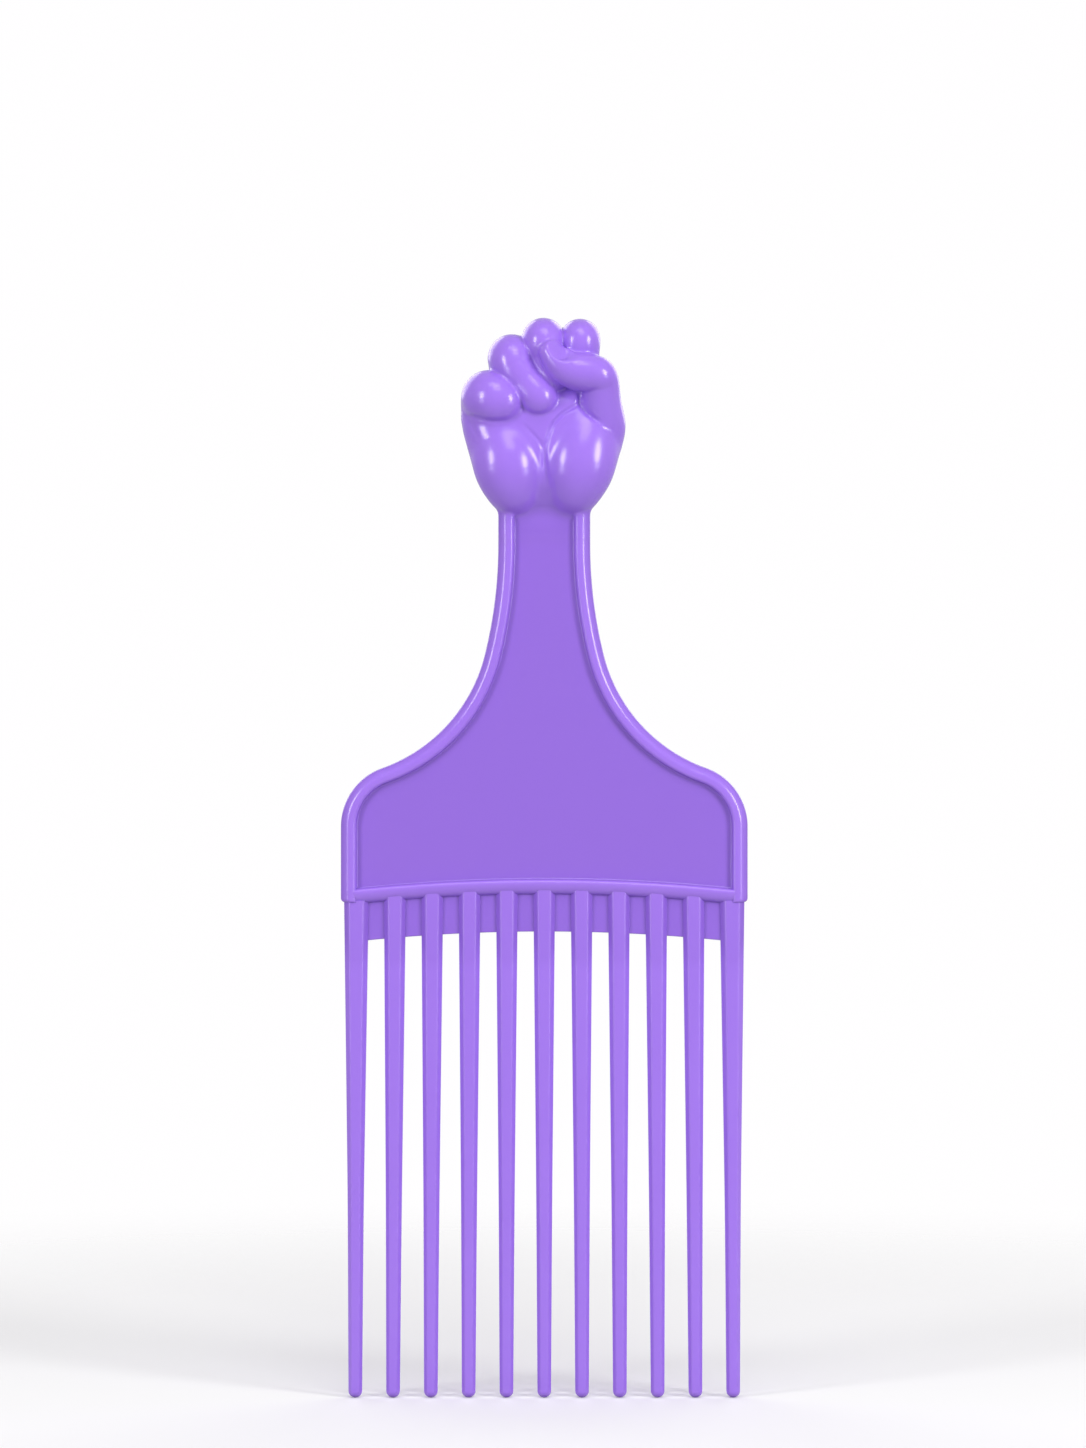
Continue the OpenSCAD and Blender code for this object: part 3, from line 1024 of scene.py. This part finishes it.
@dataclass(frozen=True)
class Fist:
    """The sculpted hand: a palm with two heel mounds, four curled fingers and a crossing thumb."""

    neck: Neck
    cut_z: float = 10.5
    step: float = 0.2
    spare: int = 3
    tongue: float = 0.2
    low: tuple[float, float] = (-16.2, -9.6)
    high: tuple[float, float] = (16.2, 11.0)
    top_z: float = 51.2
    flesh_blend: float = 1.0
    crease_blend: float = 0.5
    finger_blend: float = 0.45
    neck_blend: float = 0.6
    sheet_blend: float = 1.1
    sheet_half: tuple[float, float] = (5.0, 1.0)
    sheet_top_z: float = 18.0
    groove_from: float = 0.5
    even_out_rounds: tuple[bool, ...] = (False, True, True, False, False)
    even_out_share: float = 0.5

    palm: Palm = Palm((
        (12.8, -3.5, 3.5, -0.25, 0.25, 2.2),
        (14.4, -6.2, 6.2, -1.2, 0.3, 2.3),
        (16.0, -8.0, 8.0, -2.6, 1.2, 2.5),
        (17.6, -9.2, 9.2, -3.8, 2.4, 2.6),
        (21.4, -11.3, 11.4, -5.4, 4.2, 2.5),
        (25.6, -13.0, 13.1, -6.2, 5.0, 2.5),
        (29.8, -14.3, 13.9, -6.7, 5.1, 2.5),
        (33.0, -14.65, 13.4, -6.9, 5.0, 2.5),
        (36.5, -13.6, 12.6, -6.7, 4.0, 2.5),
        (40.0, -9.0, 11.6, -6.3, 1.6, 2.5),
        (43.5, -4.0, 9.0, -5.4, -0.6, 2.4),
        (45.0, -2.0, 7.0, -4.6, -2.0, 2.2),
    ))
    little: Limb = Limb((
        (-9.4, -3.6, 33.4, 3.7), (-9.7, -1.6, 35.3, 4.6), (-9.7, 2.0, 35.4, 4.85),
        (-8.9, 3.7, 35.1, 4.5), (-7.6, 4.3, 34.7, 3.75)), 1.12)
    ring: Limb = Limb((
        (-5.8, -4.0, 39.0, 3.7), (-5.8, -2.0, 42.0, 4.1), (-5.6, 2.0, 42.2, 4.2),
        (-4.9, 3.5, 40.3, 3.5), (-3.3, 3.9, 38.1, 3.25), (-1.6, 4.3, 36.1, 3.3),
        (-1.0, 4.3, 35.4, 3.3)), 1.08)
    middle: Limb = Limb((
        (-0.5, -4.0, 42.0, 3.6), (-0.2, -2.4, 45.3, 3.75), (-0.1, 2.6, 45.4, 3.8),
        (0.4, 2.5, 43.0, 3.6), (1.8, 3.1, 39.6, 3.3)))
    index: Limb = Limb((
        (6.0, -4.0, 42.0, 3.4), (6.2, -2.4, 45.3, 3.5), (6.3, 2.6, 45.5, 3.55),
        (6.25, 2.4, 43.0, 3.4), (5.9, 2.6, 40.0, 3.2)))
    thumb: Limb = Limb((
        (10.0, -0.8, 27.9, 3.75), (10.5, 0.7, 30.6, 3.8), (10.0, 2.6, 34.6, 3.5), (9.95, 4.0, 37.7, 3.2),
        (9.5, 4.9, 39.0, 3.2), (8.2, 5.15, 39.4, 3.35), (6.3, 5.4, 39.65, 3.4), (4.6, 5.7, 40.0, 3.15),
        (3.4, 5.95, 40.6, 3.0), (2.0, 6.15, 42.0, 2.5), (1.2, 6.2, 43.0, 2.15)))
    curl: Limb = Limb((
        (-8.0, 0.0, 32.4, 3.4), (-4.6, 0.6, 36.5, 3.6), (0.6, 0.3, 40.0, 3.9),
        (5.8, -0.8, 41.4, 3.8), (6.3, 1.2, 40.8, 3.6)))
    little_heel: Limb = Limb((
        (-8.7, 0.5, 30.0, 5.1), (-7.3, 0.7, 27.0, 5.9), (-6.3, 1.7, 23.4, 6.1), (-5.7, 1.3, 20.4, 5.1),
        (-5.2, 0.0, 18.3, 3.9)), 1.15)
    thumb_heel: Limb = Limb((
        (7.9, 0.0, 30.2, 5.0), (7.0, 0.8, 27.6, 6.2), (6.2, 1.7, 23.8, 6.3), (5.6, 1.3, 20.6, 5.2),
        (5.1, 0.0, 18.3, 3.9)), 1.15)
    tendons: tuple[Limb, ...] = (
        Limb(((-9.2, -3.3, 32.0, 3.0), (-8.6, -3.8, 30.4, 2.6), (-6.5, -4.05, 27.0, 2.4),
              (-4.2, -3.7, 22.0, 2.0))),
        Limb(((-5.8, -3.9, 37.5, 3.2), (-5.4, -4.25, 34.0, 2.8), (-3.8, -4.4, 29.0, 2.6),
              (-2.4, -3.9, 23.0, 2.2))),
        Limb(((-0.5, -3.9, 40.0, 3.2), (-0.4, -4.3, 36.0, 2.8), (-0.3, -4.5, 30.0, 2.6),
              (-0.2, -3.95, 23.0, 2.2))),
        Limb(((6.0, -3.8, 40.0, 3.1), (5.6, -4.0, 36.0, 2.8), (4.2, -4.4, 30.0, 2.6),
              (2.8, -3.9, 23.0, 2.2))),
    )
    grooves: tuple[Groove, ...] = (
        Groove(((6.1, 36.2, 0.36, 0.0), (6.2, 35.4, 0.36, 0.4), (6.2, 34.1, 0.36, 0.45),
                (7.2, 32.7, 0.36, 0.4), (8.6, 31.6, 0.36, 0.3), (10.4, 30.4, 0.38, 0.0))),
        Groove(((6.0, 34.1, 0.36, 0.30), (4.8, 33.4, 0.36, 0.35), (2.95, 32.2, 0.36, 0.4),
                (1.45, 30.4, 0.36, 0.4), (0.75, 28.5, 0.36, 0.4), (0.2, 26.6, 0.36, 0.4),
                (0.1, 24.4, 0.36, 0.4), (0.5, 21.6, 0.36, 0.3), (0.85, 19.4, 0.36, 0.0))),
        Groove(((-4.3, 31.2, 0.34, 0.0), (-2.2, 29.0, 0.34, 0.2), (-0.6, 27.1, 0.34, 0.25),
                (-0.3, 25.6, 0.34, 0.2), (-0.2, 22.6, 0.34, 0.15), (-0.4, 20.2, 0.34, 0.0))),
        Groove(((-14.2, 32.4, 0.36, 0.0), (-12.9, 32.1, 0.36, 0.2), (-11.6, 31.7, 0.36, 0.25),
                (-9.2, 31.1, 0.36, 0.2), (-6.0, 31.1, 0.36, 0.0))),
        Groove(((-13.6, 32.4, 0.36, 0.0), (-12.9, 31.0, 0.36, 0.14), (-12.1, 29.2, 0.36, 0.10),
                (-11.2, 27.4, 0.36, 0.0))),
    )
    nail: Facet = Facet((2.35, 7.35, 43.2), (0.50, 0.74, 0.44), 1.7, 0.6)

    def values(self, lattice: Lattice) -> Array:
        """Signed distance from a lattice to the whole hand and the neck's top.

        Args:
            lattice: the places.

        Returns:
            The distances.
        """
        def fields(*parts: Palm | Limb) -> list[Array]:
            """The distances to each of the parts."""
            return [part.distance(lattice) for part in parts]

        x, f, z = lattice.all()
        flesh = blend_all(fields(self.palm, self.curl), self.flesh_blend)
        heels = blend_all(fields(self.little_heel, self.thumb_heel), self.crease_blend)
        body = blend_all([flesh, heels, *fields(*self.tendons, self.little)], self.flesh_blend)
        fingers = blend_all(fields(self.ring, self.middle, self.index), self.finger_blend)
        thumb = self.nail.cut(self.thumb.distance(lattice), lattice)
        body = blend_all([body, fingers, thumb], self.crease_blend)
        front = np.clip(f - self.groove_from, 0, 1)
        for groove in self.grooves:
            body = body + groove.press(lattice) * front
        half_x, half_f = self.sheet_half
        sheet = np.maximum(np.maximum(np.abs(f) - half_f, np.abs(x) - half_x), z - self.sheet_top_z)
        faded = blend_min(body, sheet, self.sheet_blend)
        return np.minimum(faded, blend_min(body, self.neck.distance(lattice), self.neck_blend))

    def build(self) -> Object:
        """Make the hand's skin from its field.

        Returns:
            The hand.
        """
        foot = self.cut_z - (self.spare + 0.5) * self.step
        lattice = Lattice((*self.low, foot), (*self.high, self.top_z), self.step)
        points, faces = self._net(SmoothField(lattice, self.values(lattice).astype(np.float32)))
        return make_piece("raised_fist", points * np.array([1, -1, 1]), faces[:, ::-1].tolist())

    def _net(self, field: SmoothField) -> tuple[Array, Array]:
        """Net the field's zero surface above the cut and pull the net onto it.

        Args:
            field: the hand's field.

        Returns:
            Points as x, forward and z, and faces that turn outwards in those coordinates.
        """
        level = field.at_places()
        level[:, :, :self.spare + 1] = REACH
        cells = tuple(n - 1 for n in level.shape)
        size = int(np.prod(cells))
        total, count, border = np.zeros((3, size)), np.zeros(size), np.zeros(size, bool)
        edges = []
        for axis in range(3):
            one, two = (np.take(level, range(s, s + level.shape[axis] - 1), axis) for s in (0, 1))
            crossing = np.argwhere((one < 0) != (two < 0))
            a, b = one[tuple(crossing.T)], two[tuple(crossing.T)]
            where = crossing.astype(float)
            where[:, axis] += a / (a - b)
            ring = []
            for shift_b, shift_c in ((-1, -1), (0, -1), (0, 0), (-1, 0)):
                cell = crossing.copy()
                cell[:, (axis + 1) % 3] += shift_b
                cell[:, (axis + 2) % 3] += shift_c
                flat = np.ravel_multi_index(tuple(cell.T), cells)
                for c in range(3):
                    total[c] += np.bincount(flat, where[:, c], size)
                count += np.bincount(flat, minlength=size)
                if axis < 2:
                    border[flat[cell[:, 2] == self.spare]] = True
                ring.append(flat)
            ring = np.stack(ring, 1)
            ring[a > 0] = ring[a > 0][:, ::-1]
            edges.append(ring)
        active = np.flatnonzero(count)
        index = np.full(size, -1)
        index[active] = np.arange(len(active))
        points = (total[:, active] / count[active]).T * self.step + field.lattice.low
        faces = index[np.vstack(edges)]
        foot = (active % cells[2]) == self.spare
        rim = foot & border[active]
        points[foot, 2] = self.cut_z - self.tongue
        points[rim, 2] = self.cut_z
        return self._settle(field, points, faces, rim, ~foot), faces

    def _settle(self, field: SmoothField, points: Array, faces: Array, rim: Array, free: Array) -> Array:
        """Even out the net and pull it onto the surface.

        Args:
            field: the hand's field.
            points: the net's points.
            faces: its four-sided faces.
            rim: the points on the edge of the foot's cut, which keep their height.
            free: the points above the foot's cut.

        Returns:
            The points on the surface.
        """
        for even_out in self.even_out_rounds:
            if even_out:
                mean, share = np.zeros_like(points), np.zeros(len(points))
                for k in range(4):
                    for other in (faces[:, (k + 1) % 4], faces[:, k - 1]):
                        for c in range(3):
                            mean[:, c] += np.bincount(faces[:, k], points[other, c], len(points))
                        share += np.bincount(faces[:, k], minlength=len(points))
                points[free] += self.even_out_share * (mean / share[:, None] - points)[free]
            points[free] = field.pull(points[free])
            points[rim] = field.pull(points[rim], level=True)
        return points


# Photo set


@dataclass(frozen=True)
class SoftBox:
    """One oval lamp, aimed at the middle of the pick."""

    name: str
    azimuth: float
    elevation: float
    away: float
    width: float
    height: float
    radiance: float

    def build(self, aim: Vector) -> None:
        """Make the lamp.

        Args:
            aim: the place that it faces.
        """
        lamp = bpy.data.lights.new(self.name, "AREA")
        lamp.shape = "ELLIPSE"
        lamp.size, lamp.size_y = self.width, self.height
        area = math.pi / 4 * self.width * self.height
        lamp.energy = self.radiance * math.pi * area
        azimuth, elevation = math.radians(self.azimuth), math.radians(self.elevation)
        across = math.cos(elevation)
        out = Vector((math.sin(azimuth) * across, -math.cos(azimuth) * across, math.sin(elevation)))
        holder = bpy.data.objects.new(self.name, lamp)
        holder.location = aim + out * self.away
        holder.rotation_euler = out.to_track_quat("Z", "Y").to_euler()
        bpy.context.scene.collection.objects.link(holder)


@dataclass(frozen=True)
class PhotoSet:
    """The floor, the lamps, the surroundings and the camera."""

    aim: Triple = (0.0, 0.0, -0.02)
    floor_radius: float = 0.5
    floor_hub: float = 0.004
    floor_rings: int = 24
    floor_turns: int = 96
    floor_z: float = -0.1404
    ground: Colour = (1.0, 0.993, 1.0, 1.0)
    fill: float = 0.35
    mirror_level: float = 0.68
    camera_place: Triple = (-0.00022, -0.8, -0.0219)
    lens: float = 113.0
    sensor: float = 36.0
    boxes: tuple[SoftBox, ...] = (
        SoftBox("left_box", -50, 15, 0.8, 0.20, 0.36, 15.0),
        SoftBox("right_box", 50, 15, 0.8, 0.25, 0.40, 15.5),
        SoftBox("left_strip", -52, -5, 0.8, 0.26, 0.15, 4.5),
        SoftBox("right_strip", 52, -5, 0.8, 0.26, 0.15, 4.5),
        SoftBox("front_box", 10, 46, 1.2, 0.56, 0.44, 3.4),
        SoftBox("top_box", 0, 62, 0.8, 0.50, 0.24, 3.6),
        SoftBox("back_left_box", -145, 25, 1.2, 1.00, 0.90, 1.9),
        SoftBox("back_right_box", 145, 25, 1.2, 1.00, 0.90, 1.9),
    )

    def build(self) -> None:
        """Make the floor, the lamps, the surroundings and the camera."""
        self._floor()
        for box in self.boxes:
            box.build(Vector(self.aim))
        self._surroundings()
        self._camera()

    def _floor(self) -> None:
        """Lay the pale floor."""
        turns = np.linspace(0, 2 * math.pi, self.floor_turns + 1)[:-1]
        circle = np.column_stack([np.cos(turns), np.sin(turns), np.zeros(len(turns))])
        radii = np.linspace(self.floor_radius, self.floor_hub, self.floor_rings)
        points, faces = loft([radius * circle for radius in radii])
        floor = make_piece("pale_floor", points / MM, turned(faces[:-2]) + [faces[-1]])
        floor.location.z = self.floor_z
        floor.data.materials.append(PaleFloor().build())

    def _surroundings(self) -> None:
        """Light the surroundings evenly, with a white ground behind."""
        world = bpy.data.worlds.new("pale_surroundings")
        graph = Graph(world)
        path = graph.node("ShaderNodeLightPath")
        seen = graph.signal(path, "Is Camera Ray").at_least(graph.signal(path, "Is Transmission Ray"))
        level = self.fill + (self.mirror_level - self.fill) * graph.signal(path, "Is Glossy Ray")
        level = level + seen * (1.0 - level)
        ground = graph.node("ShaderNodeBackground", None, {"Color": self.ground, "Strength": level})
        graph.node("ShaderNodeOutputWorld", None, {"Surface": graph.signal(ground)})
        bpy.context.scene.world = world

    def _camera(self) -> None:
        """Set the camera at the photograph's place."""
        camera = bpy.data.cameras.new("front_camera")
        camera.lens = self.lens
        camera.sensor_width = self.sensor
        holder = bpy.data.objects.new("front_camera", camera)
        holder.location = self.camera_place
        holder.rotation_euler = (math.pi / 2, 0, 0)
        bpy.context.scene.collection.objects.link(holder)
        bpy.context.scene.camera = holder


# The whole pick


def dress(piece: Object, plastic: Material, *nodes: str) -> None:
    """Give a piece its finish and its place on the pick.

    Args:
        piece: the new piece.
        plastic: its material.
        nodes: the construction nodes that it stands for.
    """
    piece.data.materials.append(plastic)
    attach(piece, BODY)
    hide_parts(*nodes)
    LOG.info("%s stands for %s, %d faces", piece.name, ", ".join(nodes), len(piece.data.polygons))


def main() -> None:
    """Build the pick and the photo set around it."""
    logging.basicConfig(level=logging.INFO, format="%(message)s")
    bpy.context.scene.view_settings.view_transform = "Standard"
    plastic = GlossyPlastic().build()
    outline, section = HandleOutline(), RimSection()
    fist = Fist(Neck(section.neck_line(outline.neck_x)))
    dress(fist.build(), plastic, "palm", "little_finger", "ring_finger", "middle_finger", "index_finger",
          "thumb")
    for side in Side:
        dress(Rim(outline, section, side).build(), plastic, f"{side.name.lower()}_rim")
    dress(Panel(outline, section).build(), plastic, "handle_panel")
    dress(CrossRib(outline, section).build(), plastic, "cross_rib")
    dress(RootWeb(outline).build(), plastic, "root_web")
    for number, tooth in enumerate(ToothRow(outline).build(), 1):
        dress(tooth, plastic, f"tooth_{number:02d}")
    PhotoSet().build()


if __name__ == "__main__":
    main()
